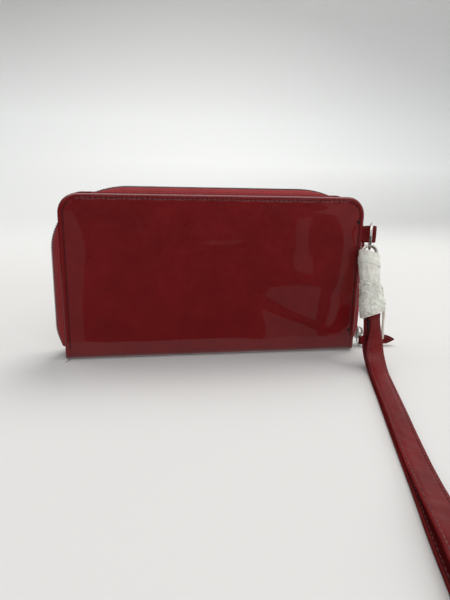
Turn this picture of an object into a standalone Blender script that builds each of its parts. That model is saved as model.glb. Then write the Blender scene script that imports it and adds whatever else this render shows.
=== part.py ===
"""Zip-around wallet with a wristlet strap, standing on its spine.

Lengths below are in millimetres; put() turns them into metres.
X runs along the wallet, -Y is the front face, +Z is up. The origin is the
middle of the spine's flat underside.
"""
import math

import bmesh
import bpy
from mathutils import Vector

# --- driving dimensions, mm ---
PANEL_W = 190.0          # cover length
PANEL_H = 103.4          # cover height
THICK = 24.0             # front face to back face
LEATHER = 1.4            # outer leather, turned and glued to its board
SPINE_R = 5.0            # radius of the leather where it wraps under
COVER_R = 12.0           # top corners of the covers
ZIP_OUT = 5.4            # how far the zip stands out past the covers' sides
ZIP_UP = 3.1             # and past their top edge, where it is pressed flatter
CORNER_X, CORNER_Z = 50.0, 38.0   # the zip rounds its corners much more widely than the covers do
TAPE_T = 0.6
PITCH = 3.6              # tooth pitch of one row
TOOTH_D = 1.6            # tooth size across the chain
ZONE = 1.0               # gap kept between the rows where the slider runs
HINGE_Y, HINGE_Z = 9.2, 3.0      # the line the back cover folds about
LAYER_T, LAYER_GAP = 0.8, 0.3    # card pocket leather
POCKET_X = 88.0
STEP = 12.0              # each card pocket stands this much above the next
COIN_X, COIN_TOP, COIN_HALF, COIN_T = 80.0, 84.0, 2.9, 0.6
RING_R, RING_WIRE = 8.6, 0.9
RING_Z = 79.8
TAB_X, TAB_Y = 101.3, -10.2      # vertical axis of the ring tab's fold
RING_TURN = math.radians(26.0)   # how far the ring's plane is turned from Y
LEAN = math.radians(18.0)        # the clasp hangs out this far from upright, drawn by the strap
STRAP_W, STRAP_T = 10.8, 1.6
EYE_TURN = math.radians(3.5)         # the strap leaves the eye this far from -Y
STRAP_HEADING = math.radians(17.1)   # and lies on the floor this far from -Y
STRAP_BEND = 30.0
STRAP_REACH = 210.0

for old in list(bpy.data.objects):
    bpy.data.objects.remove(old, do_unlink=True)

MATERIALS = {}


def material(name, colour, metallic=0.0, roughness=0.5):
    if name not in MATERIALS:
        made = bpy.data.materials.new(name)
        made.use_nodes = True
        shader = made.node_tree.nodes["Principled BSDF"]
        shader.inputs["Base Color"].default_value = (*colour, 1.0)
        shader.inputs["Metallic"].default_value = metallic
        shader.inputs["Roughness"].default_value = roughness
        MATERIALS[name] = made
    return MATERIALS[name]


PATENT = ("patent_leather", (0.110, 0.008, 0.010), 0.0, 0.12)
STRAPS = ("strap_leather", (0.150, 0.020, 0.022), 0.0, 0.30)
INNER = ("inner_leather", (0.130, 0.012, 0.014), 0.0, 0.45)
LINING = ("lining_fabric", (0.030, 0.004, 0.005), 0.0, 0.85)
BOARD = ("cover_board", (0.30, 0.24, 0.17), 0.0, 0.9)
TAPE = ("zip_tape", (0.130, 0.022, 0.024), 0.0, 0.75)
TEETH = ("zip_metal", (0.14, 0.13, 0.12), 1.0, 0.35)
STEEL = ("nickel_hardware", (0.62, 0.60, 0.57), 1.0, 0.22)
FOAM = ("packing_foam", (0.72, 0.71, 0.66), 0.0, 0.6)


def put(name, points, faces, look, origin=(0.0, 0.0, 0.0)):
    """A node from points in mm, with its origin moved to the joint it turns on."""
    mesh = bpy.data.meshes.new(name)
    home = Vector(origin)
    mesh.from_pydata([(Vector(p) - home) / 1000 for p in points], [], faces)
    build = bmesh.new()
    build.from_mesh(mesh)
    bmesh.ops.remove_doubles(build, verts=build.verts, dist=1e-7)
    bmesh.ops.recalc_face_normals(build, faces=build.faces)
    build.to_mesh(mesh)
    build.free()
    obj = bpy.data.objects.new(name, mesh)
    obj.location = home / 1000
    obj.data.materials.append(material(*look))
    bpy.context.scene.collection.objects.link(obj)
    return obj


def rings(sections, closed=False):
    """Joins equal sections into one skin, capped at both ends unless closed."""
    n = len(sections[0])
    points = [p for s in sections for p in s]
    last = len(sections) if closed else len(sections) - 1
    faces = []
    for i in range(last):
        a, b = i * n, ((i + 1) % len(sections)) * n
        faces += [(a + j, a + (j + 1) % n, b + (j + 1) % n, b + j) for j in range(n)]
    if not closed:
        faces += [tuple(range(n)), tuple(reversed(range(last * n, last * n + n)))]
    return points, faces


def slab(outline, y0, y1):
    """A plate: an outline of (x, z) points taken from y0 to y1."""
    return rings([[(x, y0, z) for x, z in outline], [(x, y1, z) for x, z in outline]])


def box(x0, x1, y0, y1, z0, z1):
    return slab([(x0, z0), (x1, z0), (x1, z1), (x0, z1)], y0, y1)


def cover_outline(inset, z0, steps=6):
    """The cover's edge: square below, rounded at the two top corners."""
    half, top, r = PANEL_W / 2 - inset, PANEL_H - inset, COVER_R - inset
    points = [(-half, z0), (half, z0)]
    for cx, start in ((half - r, 0.0), (-half + r, 90.0)):
        for i in range(steps + 1):
            a = math.radians(start + 90.0 * i / steps)
            points.append((cx + r * math.cos(a), top - r + r * math.sin(a)))
    return points


def smooth(value, low, high):
    t = min(1.0, max(0.0, (value - low) / (high - low)))
    return t * t * (3 - 2 * t)


def zip_run(out, steps_side=6, steps_top=3, steps_corner=8):
    """The zip's path at a distance out from the covers, from bottom left to bottom right."""
    t = ((out + 4.2) / (ZIP_OUT + 4.2)) ** 1.5
    rx, rz = 10.0 + (CORNER_X - 10.0) * t, 10.0 + (CORNER_Z - 10.0) * t
    half = PANEL_W / 2 + out
    top = PANEL_H + (out if out < 0 else out * ZIP_UP / ZIP_OUT)
    raw = [(-half, 9.0 + (top - rz - 9.0) * i / steps_side) for i in range(steps_side)]
    for i in range(steps_corner):
        a = math.radians(180 - 90 * i / steps_corner)
        raw.append((-half + rx + rx * math.cos(a), top - rz + rz * math.sin(a)))
    raw += [(-half + rx + (2 * half - 2 * rx) * i / steps_top, top) for i in range(steps_top)]
    for i in range(steps_corner):
        a = math.radians(90 - 90 * i / steps_corner)
        raw.append((half - rx + rx * math.cos(a), top - rz + rz * math.sin(a)))
    raw += [(half, top - rz - (top - rz - 9.0) * i / steps_side) for i in range(steps_side + 1)]
    tucked = []
    for x, z in raw:
        # The ends of the zip tuck in behind the cover's edge.
        keep = smooth(z, -2.0, 20.0) if x < 0 else smooth(z, 3.0, 17.0)
        x -= math.copysign(max(out, 0.0) * (1 - keep), x)
        tucked.append((x, z))
    return tucked


def tape_sections(side):
    profile = [(-4.2, 10.25), (-0.5, 10.0), (2.2, 8.6), (4.0, 6.0), (5.0, 2.8)]
    rows = [zip_run(out) for out, _ in profile]
    sections = []
    for i in range(len(rows[0])):
        line = [(rows[k][i][0], profile[k][1], rows[k][i][1]) for k in range(len(profile))]
        (x0, z0), (x1, z1) = rows[0][max(i - 1, 0)], rows[0][min(i + 1, len(rows[0]) - 1)]
        run = math.hypot(x1 - x0, z1 - z0)
        ox, oz = -(z1 - z0) / run, (x1 - x0) / run
        inner = []
        for k, (x, y, z) in enumerate(line):
            a, b = line[max(k - 1, 0)], line[min(k + 1, len(line) - 1)]
            du = (b[0] - a[0]) * ox + (b[2] - a[2]) * oz
            dy = b[1] - a[1]
            size = math.hypot(du, dy)
            # The tape's underside lies inwards along its own normal.
            inner.append((x + ox * dy / size * TAPE_T, y - du / size * TAPE_T, z + oz * dy / size * TAPE_T))
        section = line + inner[::-1]
        sections.append([(x, side * y, z) for x, y, z in section])
    return sections


def along(path, pitch):
    """Even stations on a path: (x, z, outward normal)."""
    lengths = [0.0]
    for a, b in zip(path, path[1:]):
        lengths.append(lengths[-1] + math.dist(a, b))
    def at(s):
        s = min(max(s, 0.0), lengths[-1])
        i = max(k for k in range(len(path) - 1) if lengths[k] <= s + 1e-9)
        t = (s - lengths[i]) / (lengths[i + 1] - lengths[i])
        (x0, z0), (x1, z1) = path[i], path[i + 1]
        tx, tz = (x1 - x0), (z1 - z0)
        size = math.hypot(tx, tz)
        return x0 + tx * t, z0 + tz * t, -tz / size, tx / size
    return at, lengths[-1], int(lengths[-1] / pitch)


def teeth_row(side):
    """One row of teeth on its bead, with a wider gap to the other row where the slider runs."""
    path = [p for p in zip_run(ZIP_OUT - 0.8, 6, 3, 12) if p[0] < 60 or p[1] > 20.0]
    at, total, count = along(path, PITCH)
    stations = []
    shift = 0.0 if side < 0 else PITCH / 2
    for k in range(count):
        start = 0.6 + k * PITCH + shift
        if start + 1.4 > total - 0.5:
            break
        x, z, _, _ = at(start)
        tip = ZONE / 2 if x > 90 and z < 84 else -0.35
        stations += [(start, 1.3), (start + 0.12, tip), (start + 1.25, tip), (start + 1.37, 1.3)]
    stations = [(0.0, 1.3)] + stations + [(total, 1.3)]
    sections = []
    for s, tip in stations:
        x, z, nx, nz = at(s)
        sections.append([
            (x + nx * o, side * y, z + nz * o)
            for o, y in ((0.0, 2.2), (TOOTH_D, 2.2), (TOOTH_D, tip), (0.0, tip))
        ])
    return sections


def tube(path, radius, sides=8, closed=False):
    """A round wire along a path, its rings turned as little as possible."""
    path = [Vector(p) for p in path]
    n = len(path)
    sections, normal = [], None
    for i, p in enumerate(path):
        ahead = path[(i + 1) % n] if closed or i < n - 1 else p
        behind = path[i - 1] if closed or i > 0 else p
        direction = (ahead - behind).normalized()
        if normal is None:
            normal = direction.orthogonal().normalized()
        normal = (normal - direction * normal.dot(direction)).normalized()
        across = direction.cross(normal)
        sections.append([
            tuple(p + radius * (math.cos(a) * normal + math.sin(a) * across))
            for a in (2 * math.pi * k / sides for k in range(sides))
        ])
    return sections


def union(name, shapes, look, origin=(0, 0, 0)):
    """One node from several overlapping shapes."""
    first = put(name, *shapes[0], look, origin)
    for shape in shapes[1:]:
        other = put(name + "_add", *shape, look)
        other.hide_render = True
        other.hide_viewport = False
        step = first.modifiers.new("join", "BOOLEAN")
        step.operation, step.solver, step.object = "UNION", "EXACT", other
    bpy.context.view_layer.update()
    graph = bpy.context.evaluated_depsgraph_get()
    joined = bpy.data.meshes.new_from_object(first.evaluated_get(graph))
    helpers = [m.object for m in first.modifiers]
    first.modifiers.clear()
    first.data = joined
    for helper in helpers:
        bpy.data.objects.remove(helper, do_unlink=True)
    return first


def cut(target, shapes):
    for shape in shapes:
        tool = put(target.name + "_cut", *shape, BOARD)
        step = target.modifiers.new("cut", "BOOLEAN")
        step.operation, step.solver, step.object = "DIFFERENCE", "EXACT", tool
        bpy.context.view_layer.update()
        graph = bpy.context.evaluated_depsgraph_get()
        made = bpy.data.meshes.new_from_object(target.evaluated_get(graph))
        target.modifiers.clear()
        target.data = made
        bpy.data.objects.remove(tool, do_unlink=True)
    return target


# --- front half: the outer leather runs down the front and round under the spine ---
HALF = THICK / 2


def spine_strip(x):
    """The bent leather below the covers, as a section at x."""
    outer, inner = [], []
    for i in range(7):
        a = math.radians(180 + 90 * i / 6)
        for row, r in ((outer, SPINE_R), (inner, SPINE_R - LEATHER)):
            row.append((x, -HALF + SPINE_R + r * math.cos(a), SPINE_R + r * math.sin(a)))
    for i in range(4):
        a = math.radians(270 + 50 * i / 3)
        for row, r in ((outer, SPINE_R), (inner, SPINE_R - LEATHER)):
            row.append((x, HALF - SPINE_R + r * math.cos(a), SPINE_R + r * math.sin(a)))
    return outer + inner[::-1]


def front_leather():
    half = PANEL_W / 2
    plate = slab(cover_outline(0.0, SPINE_R - 0.01), -HALF, -HALF + LEATHER)
    under = rings([spine_strip(-half), spine_strip(half)])
    return union("outer_leather_front_and_spine", [plate, under], PATENT)


front_leather()
put("outer_leather_back", *slab(cover_outline(0.0, 5.0), HALF - LEATHER, HALF), PATENT,
    (0, HINGE_Y, HINGE_Z))

for end, side in (("front", -1), ("back", 1)):
    home = (0, 0, 0) if side < 0 else (0, HINGE_Y, HINGE_Z)
    def layer(name, outline, y_far, y_near, look, end=end, side=side, home=home):
        put(end + "_" + name, *slab(outline, *sorted((side * y_far, side * y_near))), look, home)
    layer("stiffener_board", cover_outline(5.2, 8.0, 3), 10.4, 9.4, BOARD)
    layer("lining", cover_outline(6.0, 8.0, 3), 9.1, 8.7, LINING)
    for k in range(4):
        far = 8.4 - k * (LAYER_T + LAYER_GAP)
        top = 90.0 - STEP * k
        notch = [(-POCKET_X, 9.0), (POCKET_X, 9.0), (POCKET_X, top), (2, top), (0, top - 1.5), (-2, top),
                 (-POCKET_X, top)]
        layer(f"card_pocket_{k + 1}", notch, far, far - LAYER_T, INNER)
    put(end + "_zip_tape", *rings(tape_sections(side)), TAPE, home)
    put(end + "_zip_teeth", *rings(teeth_row(side)), TEETH, home)

# --- zip ends: small stops and the leather pieces that finish the tape ---
for name, x in (("left", -1), ("right", 1)):
    low, high = sorted((x * 88.6, x * 93.6))
    put(f"zip_end_leather_{name}", *box(low, high, -5.0, -2.4, 3.4, 11.5), STRAPS)
put("zip_stop_bar", *box(94.0, 97.4, -2.0, 1.6, 3.0, 5.2), STEEL)

# --- coin pocket: a middle divider that follows the back half at half its angle ---
COIN_HOME = (0, 0, 2.2)
for end, side in (("front", -1), ("back", 1)):
    y = sorted((side * COIN_HALF, side * (COIN_HALF - COIN_T)))
    put(f"coin_pocket_{end}_wall", *box(-COIN_X, COIN_X, *y, 5.0, COIN_TOP), INNER, COIN_HOME)
    y = sorted((side * 2.0, side * 0.75))
    put(f"coin_zip_tape_{end}", *box(-COIN_X + 2, COIN_X - 2, *y, 80.4, 81.0), TAPE, COIN_HOME)
gusset = [(-COIN_X, COIN_TOP), (-COIN_X, 5.0), (COIN_X, 5.0), (COIN_X, COIN_TOP), (COIN_X - 0.8, COIN_TOP),
          (COIN_X - 0.8, 5.8), (-COIN_X + 0.8, 5.8), (-COIN_X + 0.8, COIN_TOP)]
put("coin_pocket_gusset", *slab(gusset, -2.0, 2.0), INNER, COIN_HOME)
put("coin_zip_chain", *box(-76.0, 76.0, -0.45, 0.45, 80.2, 81.4), TEETH, COIN_HOME)
COIN_SLIDER_X = -71.0
slider = [
    box(COIN_SLIDER_X - 4, COIN_SLIDER_X + 4, -1.7, 1.7, 81.8, 82.6),
    box(COIN_SLIDER_X - 4, COIN_SLIDER_X + 4, -1.7, -1.3, 81.3, 82.4),
    box(COIN_SLIDER_X - 4, COIN_SLIDER_X + 4, 1.3, 1.7, 81.3, 82.4),
    box(COIN_SLIDER_X + 2.4, COIN_SLIDER_X + 3.2, -0.6, 0.6, 82.3, 85.4),
    box(COIN_SLIDER_X - 3.2, COIN_SLIDER_X - 2.4, -0.6, 0.6, 82.3, 85.4),
    box(COIN_SLIDER_X - 3.2, COIN_SLIDER_X + 3.2, -0.6, 0.6, 84.7, 85.4),
]
union("coin_zip_slider", slider, STEEL, (COIN_SLIDER_X, 0, 81.0))
coin_pull = put("coin_zip_pull", *box(COIN_SLIDER_X - 1.9, COIN_SLIDER_X + 15.0, -1.8, 1.8, 83.1, 83.9),
                STEEL, (COIN_SLIDER_X - 1.2, 0, 83.5))
cut(coin_pull, [box(COIN_SLIDER_X - 0.5, COIN_SLIDER_X + 6.0, -0.95, 0.95, 82.0, 85.0)])

# --- main slider on the right-hand side, its pull ring and leather tab ---
SX, SZ = PANEL_W / 2 + ZIP_OUT, 9.5      # centre line of the chain and of the slider
shell = [
    box(SX + 1.25, SX + 2.15, -3.6, 3.6, SZ - 5.0, SZ + 5.0),
    box(SX - 2.7, SX - 1.7, -1.7, 1.7, SZ - 5.0, SZ + 5.0),
    box(SX + 0.55, SX + 1.6, -3.6, -2.75, SZ - 5.0, SZ + 5.0),
    box(SX + 0.55, SX + 1.6, 2.75, 3.6, SZ - 5.0, SZ + 5.0),
    box(SX - 2.0, SX + 1.6, -0.32, 0.32, SZ - 5.0, SZ - 2.6),
    box(SX + 1.9, SX + 6.2, -0.9, 0.9, SZ + 2.8, SZ + 4.0),
    box(SX + 1.9, SX + 6.2, -0.9, 0.9, SZ - 4.0, SZ - 2.8),
    box(SX + 5.2, SX + 6.2, -0.9, 0.9, SZ - 4.0, SZ + 4.0),
]
union("zip_slider", shell, STEEL, (SX, 0, SZ))
PULL_X, PULL_Z = SX + 4.2, SZ - 0.9     # the pull ring hangs inside the bridge here
oval = []
for i in range(20):
    c, k = math.cos(2 * math.pi * i / 20), math.sin(2 * math.pi * i / 20)
    reach = (abs(c) ** 5 + abs(k) ** 5) ** -0.2
    oval.append((PULL_X, 3.4 * reach * k, PULL_Z - 4.0 + 4.0 * reach * c))
put("zip_pull_ring", *rings(tube(oval, 0.5, 6), True), STEEL, (PULL_X, 0, PULL_Z))
TAB_HINGE_Y = -3.4
TAB_MID_Z = 4.5
fold = []
for i in range(9):
    a = math.radians(90 + 180 * i / 8)
    fold.append((PULL_X + 1.75 * math.cos(a), TAB_HINGE_Y + 1.75 * math.sin(a)))
inner_fold = []
for i in range(9):
    a = math.radians(90 + 180 * i / 8)
    inner_fold.append((PULL_X + 0.95 * math.cos(a), TAB_HINGE_Y + 0.95 * math.sin(a)))
section = ([(PULL_X + 25, TAB_HINGE_Y + 0.9), (PULL_X + 4.4, TAB_HINGE_Y + 0.9)] + fold
           + [(PULL_X + 4.4, TAB_HINGE_Y - 0.9), (PULL_X + 25, TAB_HINGE_Y - 0.9)])
tab_low, tab_high = TAB_MID_Z - 2.8, TAB_MID_Z + 2.8
tab = put("zip_pull_leather", *rings([[(x, y, tab_low) for x, y in section],
                                     [(x, y, tab_high) for x, y in section]]),
          STRAPS, (PULL_X, TAB_HINGE_Y, TAB_MID_Z))
bore = [(x, y) for x, y in inner_fold] + [(PULL_X + 2.6, TAB_HINGE_Y - 0.75), (PULL_X + 2.6, TAB_HINGE_Y + 0.75)]
cut(tab, [
    rings([[(x, y, tab_low - 1) for x, y in bore], [(x, y, tab_high + 1) for x, y in bore]]),
    slab([(PULL_X + 19, tab_high + 0.1), (PULL_X + 26, tab_high + 0.1), (PULL_X + 26, tab_high - 2.9)],
         TAB_HINGE_Y - 3, TAB_HINGE_Y + 3),
    slab([(PULL_X + 19, tab_low - 0.1), (PULL_X + 26, tab_low + 2.9), (PULL_X + 26, tab_low - 0.1)],
         TAB_HINGE_Y - 3, TAB_HINGE_Y + 3),
])

# --- ring tab sewn behind the right-hand edge of the front cover, and its ring ---
loop = []
for i in range(13):
    a = math.radians(-150 + 300 * i / 12)
    loop.append((TAB_X + 3.4 * math.cos(a), TAB_Y + 3.4 * math.sin(a)))
hole = []
for i in range(12):
    a = 2 * math.pi * i / 12
    hole.append((TAB_X + 2.3 * math.cos(a), TAB_Y + 2.3 * math.sin(a)))
# The two ends of the fold run back together beside the cover's edge.
body = [(95.5, TAB_Y - 0.7), *loop, (95.5, TAB_Y + 0.6)]
ring_tab = put("ring_tab", *rings([[(x, y, RING_Z - 5.3) for x, y in body], [(x, y, RING_Z + 5.3) for x, y in body]]), STRAPS)
cut(ring_tab, [rings([[(x, y, RING_Z - 8) for x, y in hole], [(x, y, RING_Z + 8) for x, y in hole]])])
d = Vector((-math.sin(RING_TURN), -math.cos(RING_TURN), 0))
ring_mid = Vector((TAB_X, TAB_Y, RING_Z)) + d * (RING_R - 1.0)
circle = []
for i in range(28):
    a = 2 * math.pi * i / 28
    circle.append(ring_mid + RING_R * (math.cos(a) * d + math.sin(a) * Vector((0, 0, 1))))
put("strap_ring", *rings(tube(circle, RING_WIRE, 8), True), STEEL, (TAB_X, TAB_Y, RING_Z))

# --- clasp: hook on the ring, sprung gate, swivel eye. It is laid out upright, then leaned out ---
CX, CY = ring_mid.x, ring_mid.y
RING_LOW = Vector((CX, CY, RING_Z - RING_R))


def lean(point):
    """A point of the upright clasp, turned about the bottom of the ring to the way it hangs."""
    x, y, z = Vector(point) - RING_LOW
    c, k = math.cos(LEAN), math.sin(LEAN)
    return tuple(RING_LOW + Vector((x, y * c + z * k, z * c - y * k)))


def leaned(shape):
    points, faces = shape
    return [lean(p) for p in points], faces


def disc(x, y, r, n=14):
    return [(x + r * math.cos(2 * math.pi * i / n), y + r * math.sin(2 * math.pi * i / n)) for i in range(n)]


def post(x, y, r, z0, z1):
    return rings([[(px, py, z) for px, py in disc(x, y, r)] for z in (z0, z1)])


HOOK_TOP = RING_Z - RING_R + RING_WIRE + 0.2 + 1.0     # centre line of the hook's arch
HOOK_R = 4.8
arch = [(CX + HOOK_R, CY, HOOK_TOP - HOOK_R - z) for z in (14.5, 9.0, 4.0)]
for i in range(11):
    a = math.pi * i / 10
    arch.append((CX + HOOK_R * math.cos(a), CY, HOOK_TOP - HOOK_R + HOOK_R * math.sin(a)))
arch.append((CX - HOOK_R, CY, HOOK_TOP - HOOK_R - 3.0))
base_z = HOOK_TOP - HOOK_R - 15.0
union("clasp_hook", [leaned(shape) for shape in (
    rings(tube(arch, 1.0, 8)),
    box(CX - 1.6, CX + HOOK_R + 1.0, CY - 1.3, CY + 1.3, base_z - 2.2, base_z + 1.4),
    post(CX, CY, 2.6, base_z - 5.0, base_z - 1.4),
)], STEEL, tuple(RING_LOW))
gate_z = base_z - 0.4
put("clasp_gate", *leaned(box(CX - HOOK_R - 0.8, CX - HOOK_R + 0.8, CY - 0.9, CY + 0.9, gate_z - 1.4,
                              HOOK_TOP - HOOK_R - 3.4)), STEEL, lean((CX - HOOK_R, CY, gate_z)))
eye_top = base_z - 5.3
EYE_Z = eye_top - 7.0
w = Vector((math.cos(EYE_TURN), -math.sin(EYE_TURN), 0))      # across the strap, along the eye's bar
frame = [Vector((CX, CY, z)) + w * x
         for x, z in ((-7.0, eye_top - 1.2), (7.0, eye_top - 1.2), (7.0, EYE_Z), (-7.0, EYE_Z))]
union("clasp_swivel_eye", [leaned(rings(tube(frame, 0.8, 8, True), True)),
                           leaned(post(CX, CY, 2.2, eye_top - 2.0, eye_top))], STEEL, lean((CX, CY, eye_top)))

# --- wrist strap: one strip folded round the eye, its two runs lying together, open towards the end ---
eye_mid = Vector(lean((CX, CY, EYE_Z)))
EYE_H = eye_mid.z
# The strap drops in the clasp's own direction, then bends to the floor.
HANG = ((0.0, EYE_H), (7.5, 14.0), (11.0, 1.0), (40.0, 2.03))


def hang(t):
    """The middle line of the hanging part: (distance from the clasp, height)."""
    weights = ((1 - t) ** 3, 3 * t * (1 - t) ** 2, 3 * t * t * (1 - t), t ** 3)
    return tuple(sum(k * p[i] for k, p in zip(weights, HANG)) for i in (0, 1))


def half_gap(index, far):
    """Half the distance between the two runs: wide round the bar, together, then open."""
    return 0.975 + 0.9 * (1 - smooth(index, 0.0, 2.0)) + 3.6 * smooth(far, 112.0, 176.0)


def plan(far):
    """Sideways drift of the strap as it bends on to its heading."""
    a, b = math.tan(EYE_TURN), math.tan(STRAP_HEADING)
    if far <= 0:
        return a * far
    if far < STRAP_BEND:
        return a * far + (b - a) * far * far / (2 * STRAP_BEND)
    return (a + b) / 2 * STRAP_BEND + b * (far - STRAP_BEND)


middle = [(*hang(k / 10), float(k)) for k in range(11)]
middle += [(far, None, 11.0) for far in (62, 88, 110, 126, 142, 158, STRAP_REACH - 22)]
runs = {1: [], -1: []}
for i, (far, height, index) in enumerate(middle):
    gap = half_gap(index, far)
    floor_height = 0.25 + STRAP_T / 2 + gap
    height = floor_height if height is None else max(height, floor_height if far > 30 else 0.0)
    middle[i] = (far, height, gap)
for i, (far, height, gap) in enumerate(middle):
    f0, z0, _ = middle[max(i - 1, 0)]
    f1, z1, _ = middle[min(i + 1, len(middle) - 1)]
    size = math.hypot(f1 - f0, z1 - z0)
    nf, nz = -(z1 - z0) / size, (f1 - f0) / size
    if far > 60:
        nf, nz = 0.0, 1.0
    for side in (1, -1):
        runs[side].append((far + side * nf * gap, height + side * nz * gap))
end_far, end_z, end_gap = middle[-1]
tip = [(end_far + 12.0 * math.sin(a), end_z + end_gap * math.cos(a))
       for a in (math.pi * k / 8 for k in range(1, 8))]
fold = [(1.875 * math.cos(a), EYE_H + 1.875 * math.sin(a))
        for a in (math.pi + LEAN - math.pi * k / 8 for k in range(1, 8))]
line = runs[1] + tip + runs[-1][::-1] + fold
sections = []
n = len(line)
for i, (far, z) in enumerate(line):
    f0, z0 = line[i - 1]
    f1, z1 = line[(i + 1) % n]
    size = math.hypot(f1 - f0, z1 - z0)
    nf, nz = -(z1 - z0) / size, (f1 - f0) / size
    slope = (plan(far + 1) - plan(far - 1)) / 2
    across = Vector((math.cos(math.atan(slope)), -math.sin(math.atan(slope)), 0))
    section = []
    for side, off in ((-0.5, 0.5), (0.5, 0.5), (0.5, -0.5), (-0.5, -0.5)):
        reach = far + nf * off * STRAP_T
        p = Vector((CX - plan(reach), eye_mid.y - reach, 0))
        p += across * side * STRAP_W
        section.append((p.x, p.y, z + nz * off * STRAP_T))
    sections.append(section)
put("wrist_strap", *rings(sections, True), STRAPS, tuple(eye_mid))

# --- packing foam: a taped roll round the clasp, and a crumpled piece round the top of the strap ---
WX, WY = CX, CY - 1.0


def oval_ring(x, y, rx, ry, z, power=2.0, n=16):
    """A level ring, an ellipse at power 2 and squarer above that."""
    made = []
    for i in range(n):
        c, k = math.cos(2 * math.pi * i / n), math.sin(2 * math.pi * i / n)
        reach = (abs(c) ** power + abs(k) ** power) ** (-1 / power)
        made.append((x + rx * reach * c, y + ry * reach * k, z))
    return made


roll = put("packing_roll_upper", *leaned(rings([
    oval_ring(WX, WY, 7.2, 5.6, HOOK_TOP - 7.0), oval_ring(WX, WY, 7.7, 5.8, 58.0),
    oval_ring(WX, WY, 7.7, 5.8, eye_top + 0.4)])), FOAM, tuple(RING_LOW))
cut(roll, [leaned(rings([oval_ring(CX, CY - 0.5, 6.7, 4.7, z, 2.2) for z in (eye_top - 1, HOOK_TOP)]))])
crumple = put("packing_wrap_lower", *leaned(rings([
    oval_ring(WX, WY, 8.0, 6.2, EYE_Z - 5.0, 3.2), oval_ring(WX + 0.5, WY, 8.8, 6.4, 32.0, 3.2),
    oval_ring(WX + 0.8, WY, 9.0, 6.6, 28.5, 3.2)])), FOAM, tuple(eye_mid))
cut(crumple, [leaned(rings([oval_ring(WX, WY - 0.4, 7.0, 5.3, z, 4.0) for z in (15.0, EYE_Z)]))])
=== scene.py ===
"""Looks for the zip-around wallet: every visible piece, its materials, the stage, lights and camera.

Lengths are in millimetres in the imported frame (X along the wallet, -Y out of the front
cover, Z up) and become metres when a mesh is made.
"""
import random
from math import atan, copysign, cos, exp, hypot, pi, radians, sin, sqrt, tan

import bpy
from mathutils import Matrix, Vector, noise


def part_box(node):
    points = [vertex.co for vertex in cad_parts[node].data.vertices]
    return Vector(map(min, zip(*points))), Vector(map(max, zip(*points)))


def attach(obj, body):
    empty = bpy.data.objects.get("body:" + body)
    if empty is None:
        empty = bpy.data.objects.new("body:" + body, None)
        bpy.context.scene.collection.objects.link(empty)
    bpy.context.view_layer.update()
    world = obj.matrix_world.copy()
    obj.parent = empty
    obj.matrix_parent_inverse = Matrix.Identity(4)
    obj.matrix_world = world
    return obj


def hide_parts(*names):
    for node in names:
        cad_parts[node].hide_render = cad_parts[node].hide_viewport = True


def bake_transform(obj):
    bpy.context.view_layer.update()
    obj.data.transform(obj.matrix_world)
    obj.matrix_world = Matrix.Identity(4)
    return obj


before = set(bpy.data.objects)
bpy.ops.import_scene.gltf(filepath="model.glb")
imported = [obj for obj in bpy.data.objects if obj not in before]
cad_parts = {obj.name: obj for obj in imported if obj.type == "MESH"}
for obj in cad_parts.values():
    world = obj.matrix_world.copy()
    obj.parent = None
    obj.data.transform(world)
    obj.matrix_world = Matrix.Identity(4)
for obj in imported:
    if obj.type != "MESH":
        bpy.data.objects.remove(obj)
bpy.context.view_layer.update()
scene = bpy.context.scene
MM = 0.001


def span(node):
    """The lowest and highest corner of a CAD node, in mm."""
    low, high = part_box(node)
    return low / MM, high / MM


# --- sizes read from the frame ---
cover_low, cover_high = span("outer_leather_front_and_spine")
back_low, back_high = span("outer_leather_back")
HALF_W = cover_high.x
TOP = cover_high.z
FRONT = cover_low.y
BACK = back_high.y
SPINE_R = back_low.z
COVER_R = 12.0
LEATHER = 1.4
ZIP_OUT = span("front_zip_teeth")[1].x - HALF_W - 0.8  # middle of the chain, out from the covers' sides
ZIP_UP = 3.1  # and out from their top edge
CORNER_X, CORNER_Z = 47.0, 38.0  # the zip rounds its corners more widely than the covers do
PITCH = 1.68  # one row
STITCH_IN = 3.0  # the seam runs this far inside the covers' edge
STITCH = 3.0  # from one stitch of the covers' seam to the next
TAPE_THICK, FOAM_THICK = 0.6, 0.3
HALVES = ((-1, "front_half", "front"), (1, "back_half", "back"))  # side, body, name


# ---- mesh helpers

def smooth(value, low, high):
    t = min(1.0, max(0.0, (value - low) / (high - low)))
    return t * t * (3 - 2 * t)


def bell(value, middle, width):
    """1 at the middle, falling to nothing on both sides."""
    return exp(-(((value - middle) / width) ** 2))


def around(n):
    """The angles of n equal steps round a circle."""
    return [2 * pi * i / n for i in range(n)]


def squircle(a, power):
    """Cosine and sine of an angle, and the reach of a rounded square there."""
    c, s = cos(a), sin(a)
    return c, s, (abs(c) ** power + abs(s) ** power) ** (-1 / power)


def piece(name, points, faces, look, body=None, slot=None, stands_for=None):
    """A mesh from points in mm."""
    mesh = bpy.data.meshes.new(name)
    mesh.from_pydata([Vector(p) * MM for p in points], [], faces)
    mesh.validate()
    mesh.shade_smooth()
    obj = bpy.data.objects.new(name, mesh)
    obj.data.materials.append(look)
    scene.collection.objects.link(obj)
    if body:
        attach(obj, body)
    if stands_for:
        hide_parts(stands_for)
    return obj


def skin(sections, closed=False, wrap=True):
    """Joins equal sections into one surface. wrap joins a section's last point to its first."""
    n = len(sections[0])
    points = [p for s in sections for p in s]
    rows = len(sections) if closed else len(sections) - 1
    columns = n if wrap else n - 1
    faces = []
    for i in range(rows):
        a, b = i * n, ((i + 1) % len(sections)) * n
        faces += [(a + j, b + j, b + (j + 1) % n, a + (j + 1) % n) for j in range(columns)]
    if wrap and not closed:
        faces += [tuple(range(n)), tuple(reversed(range(rows * n, rows * n + n)))]
    return points, faces


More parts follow.
